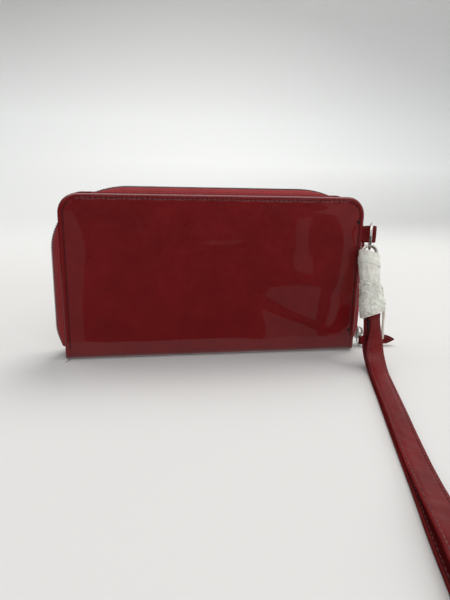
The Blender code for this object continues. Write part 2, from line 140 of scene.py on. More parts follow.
def merge(parts):
    """One list of points and faces from several."""
    points, faces = [], []
    for more_points, more_faces in parts:
        start = len(points)
        points += more_points
        faces += [tuple(start + i for i in f) for f in more_faces]
    return points, faces


def tube(path, radius, sides=12, closed=False):
    """A round wire on a path; radius may be a number or one for each point."""
    path = [Vector(p) for p in path]
    n = len(path)
    sections, normal = [], None
    for i, p in enumerate(path):
        ahead = path[(i + 1) % n] if closed or i < n - 1 else p
        behind = path[i - 1] if closed or i > 0 else p
        direction = (ahead - behind).normalized()
        if normal is None:
            normal = direction.orthogonal().normalized()
        normal = (normal - direction * normal.dot(direction)).normalized()
        across = direction.cross(normal)
        r = radius[i] if isinstance(radius, (list, tuple)) else radius
        sections.append([tuple(p + r * (cos(a) * normal + sin(a) * across)) for a in around(sides)])
    return skin(sections, closed)


def rounded_box(low, high, r, steps=3):
    """A box with every edge rounded to radius r."""
    low, high = Vector(low), Vector(high)
    middle, half = (low + high) / 2, (high - low) / 2
    sections = []
    levels = [(-half.z + r * (1 - sin(a)), r * (1 - cos(a)))
              for a in (pi / 2 * i / steps for i in range(steps, -1, -1))]
    levels += [(-z, cut) for z, cut in reversed(levels)]
    for z, cut in levels:
        ring = []
        for quarter, (sx, sy) in enumerate(((1, 1), (-1, 1), (-1, -1), (1, -1))):
            for i in range(steps + 1):
                a = pi / 2 * (quarter + i / steps)
                reach = r - cut
                ring.append((middle.x + sx * (half.x - r) + reach * cos(a),
                             middle.y + sy * (half.y - r) + reach * sin(a), middle.z + z))
        sections.append(ring)
    return skin(sections)


def apply_modifiers(obj):
    graph = bpy.context.evaluated_depsgraph_get()
    mesh = bpy.data.meshes.new_from_object(obj.evaluated_get(graph))
    obj.modifiers.clear()
    obj.data = mesh
    obj.data.shade_smooth()


def thicken(obj, thickness, offset):
    """Gives a sheet its thickness in mm."""
    solid = obj.modifiers.new("thickness", "SOLIDIFY")
    solid.thickness, solid.offset = thickness * MM, offset
    apply_modifiers(obj)


def stations(path):
    """A function that gives the point, direction and stretch at a length along a path, and the path's length."""
    path = [Vector(p) for p in path]
    lengths = [0.0]
    for a, b in zip(path, path[1:]):
        lengths.append(lengths[-1] + (b - a).length)

    def at(s):
        s = min(max(s, 0.0), lengths[-1] - 1e-6)
        low, high = 0, len(lengths) - 1
        while high - low > 1:
            mid = (low + high) // 2
            if lengths[mid] <= s:
                low = mid
            else:
                high = mid
        t = (s - lengths[low]) / max(lengths[low + 1] - lengths[low], 1e-9)
        return path[low].lerp(path[low + 1], t), (path[low + 1] - path[low]).normalized(), low

    return at, lengths[-1]


def stitches(path, outward, pitch, length, radius, sink, seed):
    """Thread along a seam: each stitch is a small capsule that dives at both ends."""
    at, total = stations(path)
    normal = Vector(outward)
    rng = random.Random(seed)
    parts = []
    for k in range(int((total - 0.5) / pitch)):
        start = 0.5 + k * pitch
        line, radii = [], []
        for i in range(6):
            t = i / 5
            p = at(start + length * t)[0]
            lift = radius * 0.75 * sin(pi * t) - sink
            line.append(p + normal * (lift + rng.uniform(-0.02, 0.02)))
            radii.append(radius * (0.55 + 0.45 * sin(pi * (0.12 + 0.76 * t))))
        parts.append(tube(line, radii, 6))
    return merge(parts)


# ---- materials

class Nodes:
    """A material's node tree with short calls for the nodes used below."""

    def __init__(self, name):
        self.material = bpy.data.materials.new(name)
        self.material.use_nodes = True
        self.tree = self.material.node_tree
        self.shader = self.tree.nodes["Principled BSDF"]
        self.coordinates = self.tree.nodes.new("ShaderNodeTexCoord").outputs["Object"]

    def set(self, **values):
        for name, value in values.items():
            self.shader.inputs[name.replace("_", " ")].default_value = value

    def node(self, kind, values=(), **settings):
        made = self.tree.nodes.new(kind)
        for name, value in settings.items():
            setattr(made, name, value)
        for socket, value in dict(values).items():
            self.plug(made.inputs[socket], value)
        return made

    def plug(self, socket, value):
        """Links a node's output to a socket, or sets the socket to a number or colour."""
        if isinstance(value, bpy.types.NodeSocket):
            self.tree.links.new(value, socket)
        else:
            socket.default_value = value

    def noise(self, scale, detail=3.0, roughness=0.5, stretch=None):
        source = self.coordinates
        if stretch:
            source = self.node("ShaderNodeMapping", {"Vector": source, "Scale": stretch}).outputs[0]
        return self.node("ShaderNodeTexNoise", {
            "Vector": source, "Scale": scale, "Detail": detail, "Roughness": roughness}).outputs["Fac"]

    def ramp(self, value, low, high, start=0.0, end=1.0):
        return self.node("ShaderNodeMapRange", {
            "Value": value, "From Min": low, "From Max": high, "To Min": start, "To Max": end}).outputs[0]

    def blend(self, factor, first, second):
        made = self.node("ShaderNodeMix", data_type="RGBA")
        self.tree.links.new(factor, made.inputs["Factor"])
        for socket, value in ((made.inputs[6], first), (made.inputs[7], second)):
            self.plug(socket, (*value, 1.0) if isinstance(value, tuple) else value)
        return made.outputs[2]

    def math(self, operation, a, b):
        return self.node("ShaderNodeMath", {0: a, 1: b}, operation=operation).outputs[0]

    def to(self, socket, value):
        self.tree.links.new(value, self.shader.inputs[socket])

    def bump(self, height, distance, strength=1.0, after=None):
        made = self.node("ShaderNodeBump", {"Height": height, "Distance": distance * MM, "Strength": strength})
        if after:
            self.tree.links.new(after, made.inputs["Normal"])
        self.tree.links.new(made.outputs[0], self.shader.inputs["Normal"])
        return made.outputs[0]


def leather(name, dark, light, roughness, coat, grain=0.05, wave=0.0, grain_scale=900.0, specular=None):
    """Dyed leather: mottled colour, fine pores, and slow waves where it is glossy."""
    n = Nodes(name)
    mottle = n.noise(60.0, 5.0, 0.6)
    n.to("Base Color", n.blend(n.ramp(mottle, 0.3, 0.72), dark, light))
    n.to("Roughness", n.ramp(n.noise(240.0, 4.0, 0.6), 0.3, 0.7, roughness * 0.8, roughness * 1.25))
    n.set(Coat_Weight=coat, Coat_Roughness=0.025, IOR=1.5)
    n.set(Specular_IOR_Level=0.5 - 0.35 * coat if specular is None else specular)
    normal = None
    if grain:
        pores = n.node("ShaderNodeTexVoronoi", {"Vector": n.coordinates, "Scale": grain_scale},
                       feature="DISTANCE_TO_EDGE").outputs["Distance"]
        normal = n.bump(n.ramp(pores, 0.0, 0.12), grain, 0.5)
    if wave:
        normal = n.bump(n.noise(32.0, 2.0, 0.45), wave, 0.6, normal)
    return n.material


def thread(name, dark, light, specular=0.5):
    """Twisted thread: colour and fuzz vary at the scale of its fibres."""
    n = Nodes(name)
    n.set(Specular_IOR_Level=specular)
    n.to("Base Color", n.blend(n.ramp(n.noise(1800.0, 2.0, 0.5), 0.35, 0.65), dark, light))
    n.to("Roughness", n.ramp(n.noise(900.0), 0.3, 0.7, 0.5, 0.75))
    n.bump(n.noise(2600.0, 2.0, 0.5), 0.05, 0.7)
    return n.material


def woven(name, dark, light, scale=1500.0):
    """Woven tape or lining: crossed ribs at thread size, with a faint mottle."""
    n = Nodes(name)
    ribs = [n.node("ShaderNodeTexWave", {"Vector": n.coordinates, "Scale": scale * k, "Distortion": 0.6,
                                         "Detail": 1.0}, bands_direction=axis).outputs["Fac"]
            for axis, k in (("X", 0.2), ("Z", 0.2), ("Y", 0.26))]
    weave = n.math("MULTIPLY", n.math("ADD", ribs[0], ribs[1]), n.math("ADD", ribs[2], 0.4))
    mottle = n.math("MULTIPLY", weave, n.ramp(n.noise(120.0, 4.0, 0.6), 0.25, 0.75, 0.6, 1.1))
    n.to("Base Color", n.blend(n.ramp(mottle, 0.1, 1.5), dark, light))
    n.to("Roughness", n.ramp(n.noise(700.0), 0.3, 0.7, 0.62, 0.86))
    n.set(Sheen_Weight=0.04, Sheen_Roughness=0.4, Specular_IOR_Level=0.08)
    n.bump(weave, 0.09, 0.7)
    return n.material


def metal(name, dark, light, low, high, scratch=0.02):
    """Plated metal: cloudy colour, smudged roughness and fine scratches."""
    n = Nodes(name)
    n.to("Base Color", n.blend(n.ramp(n.noise(160.0, 4.0, 0.6), 0.3, 0.7), dark, light))
    n.to("Roughness", n.ramp(n.noise(420.0, 5.0, 0.65), 0.3, 0.7, low, high))
    n.set(Metallic=1.0)
    n.bump(n.noise(1400.0, 3.0, 0.6, stretch=(1.0, 1.0, 0.12)), scratch, 0.4)
    return n.material


PATENT = leather("patent_leather_red", (0.124, 0.0022, 0.0034), (0.166, 0.0034, 0.0050), 0.34, 0.9, 0.0, 0.30)
STRAP = leather("strap_leather_red", (0.096, 0.003, 0.004), (0.152, 0.008, 0.009), 0.36, 0.06, 0.05, 0.10,
                specular=0.10)
INNER = leather("inner_leather_red", (0.150, 0.016, 0.018), (0.210, 0.026, 0.028), 0.46, 0.1, 0.07, 0.0, 700.0)
# The covers' edge paint. Its colour is lightened as a painted highlight where the rims catch the light from above.
EDGE_PAINT_AND_HIGHLIGHT = leather("leather_edge_paint", (0.22, 0.022, 0.025), (0.34, 0.050, 0.054), 0.40, 0.3, 0.03, 0.0)
THREAD = thread("seam_thread_red", (0.08, 0.012, 0.014), (0.24, 0.070, 0.070))
# The side seams' thread is the top seam's thread with its colour darkened as painted shade, since the light falls from
# above.
SIDE_SEAM_SHADED_THREAD = thread("cover_side_thread_painted_shade", (0.045, 0.004, 0.005), (0.11, 0.012, 0.014), specular=0.2)
# Near-black thread of the tied-off knots, also used as painted shade inside the covers' stitch holes.
KNOT_THREAD_AND_HOLE_SHADE = thread("knot_thread_and_painted_hole_shade", (0.008, 0.002, 0.003), (0.030, 0.008, 0.009))
TAPE = woven("zip_tape_weave", (0.135, 0.012, 0.014), (0.31, 0.034, 0.037))
LINING = woven("lining_weave", (0.030, 0.006, 0.007), (0.085, 0.018, 0.020), 1100.0)
GUNMETAL = metal("zip_teeth_gunmetal", (0.075, 0.070, 0.066), (0.20, 0.19, 0.18), 0.26, 0.46)
NICKEL = metal("nickel_plate", (0.62, 0.595, 0.55), (0.80, 0.77, 0.71), 0.22, 0.36, 0.012)


def foam_material():
    """Thin packing foam: cloudy, faintly translucent, with small bubbles and soft wrinkles."""
    n = Nodes("packing_foam_sheet")
    n.to("Base Color", n.blend(n.ramp(n.noise(220.0, 5.0, 0.65), 0.3, 0.7), (0.58, 0.55, 0.49), (0.84, 0.81, 0.74)))
    n.to("Roughness", n.ramp(n.noise(500.0, 3.0, 0.5), 0.3, 0.7, 0.32, 0.6))
    n.set(Subsurface_Weight=0.12, Subsurface_Scale=0.002, IOR=1.3)
    bubbles = n.node("ShaderNodeTexVoronoi", {"Vector": n.coordinates, "Scale": 900.0},
                     feature="SMOOTH_F1").outputs["Distance"]
    normal = n.bump(bubbles, 0.12, 0.35)
    n.bump(n.noise(260.0, 5.0, 0.7), 0.5, 0.45, normal)
    return n.material


FOAM = foam_material()

# ---- outer leather: one sheet, front, spine and back


def edge_distance(x, z):
    """How far a point of a cover lies inside the cover's edge; the spine side has no edge."""
    dx, dz = HALF_W - abs(x), TOP - z
    if dx < COVER_R and dz < COVER_R:
        return COVER_R - hypot(COVER_R - dx, COVER_R - dz)
    return min(dx, dz)


def relief(x, z, side):
    """How far the leather stands out of its flat cover: turned edge, seam and slow waves."""
    e = edge_distance(x, z)
    rim = -0.80 * bell(e, 0, 0.55) + 0.12 * bell(e, 1.3, 0.7)
    seam = -0.16 * bell(e, STITCH_IN, 0.45)
    along = x if TOP - z < HALF_W - abs(x) else z
    pucker = 0.04 * sin(2 * pi * along / STITCH) * bell(e, STITCH_IN, 1.1)
    board = 0.18 * smooth(e, 3.4, 12.0)
    slow = noise.noise(Vector((x / 52 + side * 7, z / 40, 2.3 * side))) * 0.50
    quick = noise.noise(Vector((x / 19, z / 16 + side * 3, 8.1))) * 0.10
    return rim + seam + pucker + board + (slow + quick) * smooth(e, 2.0, 14.0)


def cover_sheet():
    """The outer leather: rows of points down the front cover, under the spine and up the back cover."""
    heights = [TOP - COVER_R + COVER_R * sin(pi / 2 * (1 - i / 26)) for i in range(27)]
    straight = TOP - COVER_R - SPINE_R
    heights += [TOP - COVER_R - straight * i / 46 for i in range(1, 47)]
    profile = [(FRONT, z, -1.0, 0.0) for z in heights]
    profile += [(FRONT + SPINE_R + SPINE_R * cos(a), SPINE_R + SPINE_R * sin(a), cos(a), sin(a))
                for a in (radians(180 + 90 * i / 12) for i in range(1, 13))]
    flat = BACK - FRONT - 2 * SPINE_R
    profile += [(FRONT + SPINE_R + flat * i / 8, 0.0, 0.0, -1.0) for i in range(1, 8)]
    profile += [(BACK - SPINE_R + SPINE_R * cos(a), SPINE_R + SPINE_R * sin(a), cos(a), sin(a))
                for a in (radians(270 + 90 * i / 12) for i in range(13))]
    profile += [(BACK, z, 1.0, 0.0) for z in reversed(heights[:-1])]
    margin = [0, 0.3, 0.6, 1.0, 1.4, 1.8, 2.2, 2.5, 2.8, 3.1, 3.4, 3.8, 4.4, 5.2, 6.4, 8.0, 10.0, 12.5]
    fractions = [i / 64 for i in range(1, 64)]
    sections = []
    for y, z, ny, nz in profile:
        half = HALF_W
        if z > TOP - COVER_R:
            half -= COVER_R - sqrt(max(COVER_R ** 2 - (z - TOP + COVER_R) ** 2, 0.0))
        inner = half - margin[-1]
        columns = [-half + m for m in margin] + [-inner + 2 * inner * f for f in fractions]
        columns += [half - m for m in reversed(margin)]
        row = []
        side = -1 if y < 0 else 1
        on_cover = smooth(z, 0.0, SPINE_R)
        for x in columns:
            out = relief(x, max(z, SPINE_R), side) * (0.25 + 0.75 * on_cover)
            if on_cover < 1.0:
                out = min(out, 0.0) if z < 0.5 else out * on_cover
                # The spine creases lengthwise where it bends.
                out += -0.12 * abs(noise.noise(Vector((x / 26, z / 2.2, 5.0)))) * (1 - on_cover)
            row.append((x, y + ny * out, max(z + nz * out, 0.02)))
        sections.append(row)
    points, faces = skin(sections, wrap=False)
    sheet = piece("outer_leather_sheet", points, faces, PATENT)
    sheet.data.materials.append(EDGE_PAINT_AND_HIGHLIGHT)
    solid = sheet.modifiers.new("thickness", "SOLIDIFY")
    solid.thickness = LEATHER * MM
    solid.offset = -1.0
    solid.use_even_offset = False
    solid.material_offset_rim = 1
    bevel = sheet.modifiers.new("turned_edge", "BEVEL")
    bevel.width, bevel.segments, bevel.limit_method = 0.42 * MM, 3, "ANGLE"
    bevel.angle_limit = radians(60)
    apply_modifiers(sheet)
    return sheet


sheet = cover_sheet()
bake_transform(sheet)
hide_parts("outer_leather_front_and_spine", "outer_leather_back")


def seam_path(side, inset=STITCH_IN):
    """Left bottom, over the top, to right bottom, on a cover's face."""
    r = COVER_R - inset
    half, top = HALF_W - inset, TOP - inset
    line = [(-half, z) for z in (7.0, 30.0, 60.0, top - r)]
    turn = [pi / 2 * i / 10 for i in range(11)]
    line += [(-half + r - r * cos(a), top - r + r * sin(a)) for a in turn[1:]]
    line += [(half - r + r * sin(a), top - r + r * cos(a)) for a in turn]
    line += [(half, z) for z in (60.0, 30.0, 7.0)]
    dense = []
    face = FRONT if side < 0 else BACK
    at, total = stations([(x, 0, z) for x, z in line])
    for k in range(int(total / 0.5)):
        p = at(k * 0.5)[0]
        dense.append((p.x, face + side * relief(p.x, p.z, side), p.z))
    return dense


def seam_hole_shade_tubes(path, side, radius=0.4):
    """Painted shade: short near-black tubes set in the holes that the thread dives into, between one stitch and the
    next.
    """
    at, total = stations(path)
    return merge([tube([at(0.5 + k * STITCH - 0.35)[0] + Vector((0, side, 0)) * t for t in (-0.15, 0.05, 0.1)],
                       [radius, radius, radius * 0.6], 8) for k in range(1, int((total - 0.5) / STITCH))])


def seam_puckers(path, side):
    """Small folds of the leather between the holes of the top seam, which catch the light from above."""
    at, total = stations(path)
    folds = []
    for k in range(int((total - 0.5) / STITCH)):
        start = at(0.5 + k * STITCH)[0]
        if start.z < TOP - STITCH_IN - 0.2:
            continue
        line = [at(0.5 + (k + i / 8) * STITCH)[0] + Vector((0, 0.16 * side, 0.25 + 0.75 * sin(pi * i / 8)))
                for i in range(9)]
        folds.append(tube(line, [0.16 + 0.14 * sin(pi * i / 8) for i in range(9)], 8))
    return merge(folds)


for side, body, name in HALVES:
    seam = seam_path(side)
    along_top = [p for p in seam if p[2] > TOP - STITCH_IN - 0.3]
    first, last = seam.index(along_top[0]), seam.index(along_top[-1])
    for part, made, look in (
            ("top_stitches", stitches(along_top, (0, side, 0), STITCH, 2.2, 0.30, -0.05, 3), THREAD),
            # Painted shade: the side seams use a darker copy of the top seam's thread.
            ("side_stitches", merge([stitches(run, (0, side, 0), STITCH, 2.2, 0.30, 0.0, 3)
                                     for run in (seam[:first], seam[last:])]), SIDE_SEAM_SHADED_THREAD),
            ("puckers", seam_puckers(seam, side), PATENT),
            # The holes are painted shade: dark tubes where only shade falls.
            ("holes", seam_hole_shade_tubes(seam, side), KNOT_THREAD_AND_HOLE_SHADE)):
        piece(f"{name}_cover_{part}", *made, look, body, "patent_leather")


def knot(x, z, size, seed):
    """A few tight turns of thread where a seam is tied off."""
    rng = random.Random(seed)
    face = FRONT - relief(x, z, -1)
    line = []
    for i in range(34):
        a = i * 0.9
        r = size * (0.25 + 0.75 * rng.random())
        line.append((x + r * cos(a), face - 0.15 - 0.35 * rng.random(), z + r * 0.8 * sin(a)))
    return tube(line, 0.22, 6)


piece("seam_knots", *merge([knot(HALF_W - 3.8, TOP - 15.6, 1.15, 4), knot(HALF_W - 4.0, 15.0, 1.05, 9)]),
      KNOT_THREAD_AND_HOLE_SHADE, "front_half", "patent_leather")
loose = [(-HALF_W + 3.4, FRONT - 0.2, 1.6), (-HALF_W + 2.2, FRONT - 0.8, 0.9), (-HALF_W + 1.2, FRONT - 1.6, 0.5),
         (-HALF_W + 0.6, FRONT - 2.9, 0.4), (-HALF_W + 1.1, FRONT - 4.0, 0.4)]
piece("loose_thread_end", *tube(loose, [0.2, 0.18, 0.17, 0.16, 0.1], 6), THREAD, "front_half", "patent_leather")

# ---- zip tapes and teeth


def zip_run(out, side_steps=40, corner_steps=40, top_steps=60, low=9.0):
    """The zip's path at a distance out from the covers: bottom left, over the top, bottom right."""
    share = min((out + 4.2) / (ZIP_OUT + 4.2), 1.0)
    t = share * share * (3 - 2 * share)    # the rows next to the teeth round the corners with them
    rx, rz = 10.0 + (CORNER_X - 10.0) * t, 10.0 + (CORNER_Z - 10.0) * t
    half = HALF_W + out
    top = TOP + (out if out < 0 else out * ZIP_UP / ZIP_OUT)
    quarter = [pi / 2 * i / corner_steps for i in range(corner_steps)]
    raw = [(-half, low + (top - rz - low) * i / side_steps) for i in range(side_steps)]
    raw += [(-half + rx - rx * cos(a), top - rz + rz * sin(a)) for a in quarter]
    raw += [(-half + rx + 2 * (half - rx) * i / top_steps, top) for i in range(top_steps)]
    raw += [(half - rx + rx * sin(a), top - rz + rz * cos(a)) for a in quarter]
    raw += [(half, top - rz - (top - rz - low) * i / side_steps) for i in range(side_steps + 1)]
    tucked = []
    for x, z in raw:
        keep = smooth(z, -2.0, 20.0) if x < 0 else smooth(z, 3.0, 17.0)
        tucked.append((x - copysign(max(out, 0.0) * (1 - keep), x), z))
    return tucked


# The tape's section: how far out from the covers, and how far from the wallet's middle.
TAPE_PROFILE = [(-4.2, 10.25), (-2.0, 10.2), (-0.4, 9.95), (1.0, 9.4), (2.2, 8.5), (3.2, 7.3), (4.0, 6.0),
                (4.6, 4.6), (4.95, 3.4), (5.1, 2.5)]


def tape(side, body, name):
    """One half's zip tape, curved from the cover's inside out to the teeth, with a slight ripple."""
    rows = [zip_run(out) for out, _ in TAPE_PROFILE]
    sections = []
    for across in zip(*rows):
        line = []
        for k, ((x, z), (_, y)) in enumerate(zip(across, TAPE_PROFILE)):
            ripple = 0.12 * noise.noise(Vector((x / 9, z / 9, k * 0.6 + side)))
            line.append((x, side * (y + ripple), z))
        sections.append(line)
    points, faces = skin(sections, wrap=False)
    obj = piece(f"{name}_zip_tape_woven", points, faces, TAPE)
    thicken(obj, TAPE_THICK, -side)
    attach(obj, body)
    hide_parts(f"{name}_zip_tape")
    # A corded rib just beside the teeth.
    edge = [(x, side * 2.55, z) for x, z in rows[-1]]
    piece(f"{name}_zip_tape_cord", *tube(edge, 0.62, 8), TAPE, body, "zip_tape")


def tooth(side):
    """One tooth in its own axes: x along the chain, y across it, z outwards."""
    legs = rounded_box((-0.38, 0.55, -1.05), (0.38, 2.7, 1.05), 0.22, 2)
    head = rounded_box((-0.365, -0.85, -0.78), (0.365, 1.0, 0.78), 0.22, 2)
    nib = rounded_box((-0.25, -0.62, 0.55), (0.25, 0.12, 1.0), 0.15, 2)
    points, faces = merge([legs, head, nib])
    flipped = [(x, side * y, z) for x, y, z in points]
    return flipped, faces if side > 0 else [tuple(reversed(f)) for f in faces]


def teeth(side, body, name):
    """One half's row of teeth, set half a pitch from the other's."""
    line = [(x, 0.0, z) for x, z in zip_run(ZIP_OUT) if x < 60 or z > 19.0]
    at, total = stations(line)
    parts = []
    start = 0.8 + (PITCH / 2 if side > 0 else 0.0)
    shape, faces = tooth(side)
    for k in range(int((total - start - 0.4) / PITCH)):
        p, along, _ = at(start + k * PITCH)
        outward = Vector((-along.z, 0, along.x))
        matrix = Matrix((along, Vector((0, 1, 0)), outward)).transposed()
        parts.append(([tuple(p + matrix @ Vector(q)) for q in shape], faces))
    piece(f"{name}_zip_teeth_metal", *merge(parts), GUNMETAL, body, "zip_metal", f"{name}_zip_teeth")


for side, body, name in HALVES:
    tape(side, body, name)
    teeth(side, body, name)

# ---- main slider, pull ring and leather pull

slider_low, slider_high = span("zip_slider")
SLIDER_Z = (slider_low.z + slider_high.z) / 2
SLIDER_X = HALF_W + ZIP_OUT


def shield(x0, x1, width, low, high, waist=0.78):
    """A slider plate: wide at the mouth, narrower where the chain leaves, rounded all round."""
    outline = []
    for a in around(40):
        c, s, reach = squircle(a, 3.2)
        v = s * reach
        wide = width * (1.0 - (1 - waist) * smooth(v, -0.2, 1.0))
        outline.append((wide * c * reach, (low + high) / 2 + (high - low) / 2 * v))
    middle = (low + high) / 2
    return skin([[(x0 + (x1 - x0) * f, y * grow, middle + (z - middle) * (1 - (1 - grow) * 0.6)) for y, z in outline]
                 for f, grow in ((0.0, 0.86), (0.12, 0.95), (0.3, 1.0), (0.7, 1.0), (0.88, 0.95), (1.0, 0.86))])


BRIDGE_BAR = ((-1, -0.8), (-0.6, -1), (0.6, -1), (1, -0.8), (1, 0.8), (0.6, 1), (-0.6, 1), (-1, 0.8))
bridge_sections = []
for i in range(15):
    a = pi * i / 14
    x, z = SLIDER_X + 1.9 + 4.0 * sin(a) ** 0.7, SLIDER_Z + 3.7 * cos(a)
    wide = 0.95 + 0.35 * abs(cos(a))
    bridge_sections.append([(x + sin(a) * u * 0.5, v * wide, z + cos(a) * u * 0.5) for u, v in BRIDGE_BAR])
flanges = [rounded_box((SLIDER_X + 0.6, s * 3.2 - 0.4, SLIDER_Z - 4.6),
                       (SLIDER_X + 1.8, s * 3.2 + 0.4, SLIDER_Z + 4.4), 0.3, 2) for s in (-1, 1)]
piece("zip_slider_cast", *merge([
    shield(SLIDER_X + 1.25, SLIDER_X + 2.3, 3.6, SLIDER_Z - 5.0, SLIDER_Z + 5.0),
    shield(SLIDER_X - 2.7, SLIDER_X - 1.7, 1.9, SLIDER_Z - 5.0, SLIDER_Z + 5.0),
    *flanges, skin(bridge_sections)]), NICKEL, "main_slider", "nickel_hardware", "zip_slider")

ring_low, ring_high = span("zip_pull_ring")
ring_mid = (ring_low + ring_high) / 2
ring_half = (ring_high - ring_low) / 2 - Vector((0.5, 0.5, 0.5))
square = [(ring_mid.x, ring_mid.y + ring_half.y * reach * s, ring_mid.z + ring_half.z * reach * c)
          for c, s, reach in (squircle(a, 5.0) for a in around(56))]
piece("zip_pull_ring_wire", *tube(square, 0.48, 12, True), NICKEL, "pull_ring", "nickel_hardware", "zip_pull_ring")

pull_low, pull_high = span("zip_pull_leather")
FOLD_X, FOLD_Y = ring_mid.x, ring_mid.y - ring_half.y
PULL_Z = (pull_low.z + pull_high.z) / 2
PULL_END = pull_high.x


def doubled_strip(line, across, half_at, middle, puff, inside):
    """A strip of leather along a line of (x, y). Its outer face puffs out, and drops at its edges and seams."""
    sections = []
    for i, (x, y) in enumerate(line):
        x0, y0 = line[max(i - 1, 0)]
        x1, y1 = line[min(i + 1, len(line) - 1)]
        size = hypot(x1 - x0, y1 - y0) or 1.0
        nx, ny = -(y1 - y0) / size, (x1 - x0) / size
        half = half_at(x)
        lifts = [(v, puff(half * (1 - abs(v)))) for v in across]
        outer = [(x + nx * lift, y + ny * lift, middle + half * v) for v, lift in lifts]
        inner = [(x - nx * inside, y - ny * inside, middle + half * v * 0.98) for v in reversed(across)]
        sections.append(outer + inner)
    return skin(sections)


def pull_half_height(x):
    """The pull's outline: parallel sides, then a leaf-shaped end."""
    near = 2.75 + 0.3 * smooth(x, FOLD_X + 4, PULL_END - 9)
    if x < PULL_END - 7:
        return near
    t = (x - PULL_END + 7) / 7
    return near * (1 - t ** 1.25) ** 0.85 + 0.25 * (1 - t)


def pull_leather():
    """A doubled strip: it goes round the ring's side and both plies run out to the pointed end."""
    line = [(FOLD_X + 4.6 + (PULL_END - FOLD_X - 4.6) * (1 - i / 34), FOLD_Y + 0.48) for i in range(35)]
    line += [(FOLD_X + 1.35 * cos(a), FOLD_Y + 1.35 * sin(a))
             for a in (radians(80 + 200 * i / 16) for i in range(17))]
    line += [(FOLD_X + 4.6 + (PULL_END - FOLD_X - 4.6) * i / 34, FOLD_Y - 0.48) for i in range(35)]
    across = [-1, -0.96, -0.88, -0.76, -0.66, -0.4, 0, 0.4, 0.66, 0.76, 0.88, 0.96, 1]

    def puff(inset):
        return 0.42 - 0.30 * bell(inset, 0, 0.35) - 0.16 * bell(inset, 1.05, 0.28)

    return doubled_strip(line, across, pull_half_height, PULL_Z, puff, 0.40)


piece("zip_pull_leather_tab", *pull_leather(), STRAP, "pull_tab", "strap_leather", "zip_pull_leather")
outline = []
for i in range(120):
    t = i / 119
    x = FOLD_X + 4.0 + (PULL_END - 1.6 - FOLD_X - 4.0) * (1 - abs(1 - 2 * t))
    v = 1 if t < 0.5 else -1
    outline.append((x, v * max(pull_half_height(min(x + 0.9, PULL_END - 0.05)) - 1.05, 0.0)))
for name, y, s in (("front", FOLD_Y - 0.92, -1), ("back", FOLD_Y + 0.92, 1)):
    path = [(x, y, PULL_Z + v) for x, v in outline]
    piece(f"zip_pull_{name}_stitches", *stitches(path, (0, s, 0), 2.0, 1.5, 0.17, 0.0, 5),
          THREAD, "pull_tab", "strap_leather")

# ---- zip ends

for name in ("left", "right"):
    node = f"zip_end_leather_{name}"
    piece(f"zip_end_{name}_wrap", *rounded_box(*span(node), 0.8, 3), STRAP, "front_half", "strap_leather", node)
piece("zip_stop_staple", *rounded_box(*span("zip_stop_bar"), 0.6, 3),
      NICKEL, "front_half", "nickel_hardware", "zip_stop_bar")

# ---- ring tab and strap ring

tab_low, tab_high = span("ring_tab")
TAB_X, TAB_Y = tab_high.x - 3.4, (tab_low.y + tab_high.y) / 2
TAB_ROOT = 92.5  # the tab starts here, inside the wallet


def ring_tab():
    """A doubled strip: out from under the front cover, round the ring and back."""
    length = TAB_X - 2.6 - TAB_ROOT
    line = [(TAB_ROOT + length * i / 10, TAB_Y + 0.75 + 1.0 * smooth(i, 6, 10)) for i in range(11)]
    line += [(TAB_X + 2.85 * cos(a), TAB_Y + 2.85 * sin(a))
             for a in (radians(135 - 270 * i / 22) for i in range(23))]
    line += [(TAB_ROOT + length * (1 - i / 10), TAB_Y - 0.75 - 1.0 * smooth(10 - i, 6, 10)) for i in range(11)]
    half = (tab_high.z - tab_low.z) / 2
    across = [-1, -0.97, -0.9, -0.8, -0.7, -0.4, 0, 0.4, 0.7, 0.8, 0.9, 0.97, 1]

    def puff(inset):
        return 0.55 - 0.35 * bell(inset, 0, 0.4) - 0.14 * bell(inset, 1.3, 0.3)

    return doubled_strip(line, across, lambda x: half, (tab_high.z + tab_low.z) / 2, puff, 0.45)


piece("ring_tab_leather", *ring_tab(), STRAP, "front_half", "strap_leather", "ring_tab")
for name, z in (("upper", tab_high.z - 1.3), ("lower", tab_low.z + 1.3)):
    path = [(95.5 + (TAB_X - 2.4 - 95.5) * i / 20, TAB_Y - 1.35 - 0.9 * smooth(i, 12, 20), z) for i in range(21)]
    piece(f"ring_tab_{name}_stitches", *stitches(path, (0, -1, 0), 2.3, 1.7, 0.2, 0.0, 8),
          THREAD, "front_half", "strap_leather")

ring_lo, ring_hi = span("strap_ring")
WIRE = 0.9
RING_R = (ring_hi.z - ring_lo.z) / 2 - WIRE
RING_TURN = radians(26.0)
ring_dir = Vector((-sin(RING_TURN), -cos(RING_TURN), 0))
RING_MID = Vector((TAB_X, TAB_Y, (ring_lo.z + ring_hi.z) / 2)) + ring_dir * (RING_R - 1.0)
RING_HIGH = 7.75  # half the ring's height: it is a little flatter than a circle
circle = [RING_MID + Vector((0, 0, RING_HIGH - RING_R + RING_HIGH * sin(a))) + RING_R * cos(a) * ring_dir
          for a in around(72)]
piece("strap_ring_wire", *tube(circle, WIRE, 16, True), NICKEL, "ring", "nickel_hardware", "strap_ring")

# ---- clasp

CX, CY = RING_MID.x, RING_MID.y
LEAN = radians(18.0)  # the clasp hangs out this far from upright
RING_LOW = RING_MID - Vector((0, 0, RING_R))


def lean(point):
    """A point of the upright clasp, turned about the bottom of the ring to the way it hangs."""
    x, y, z = Vector(point) - RING_LOW
    c, k = cos(LEAN), sin(LEAN)
    return tuple(RING_LOW + Vector((x, y * c + z * k, z * c - y * k)))


def leaned(shape):
    points, faces = shape
    return [lean(p) for p in points], faces


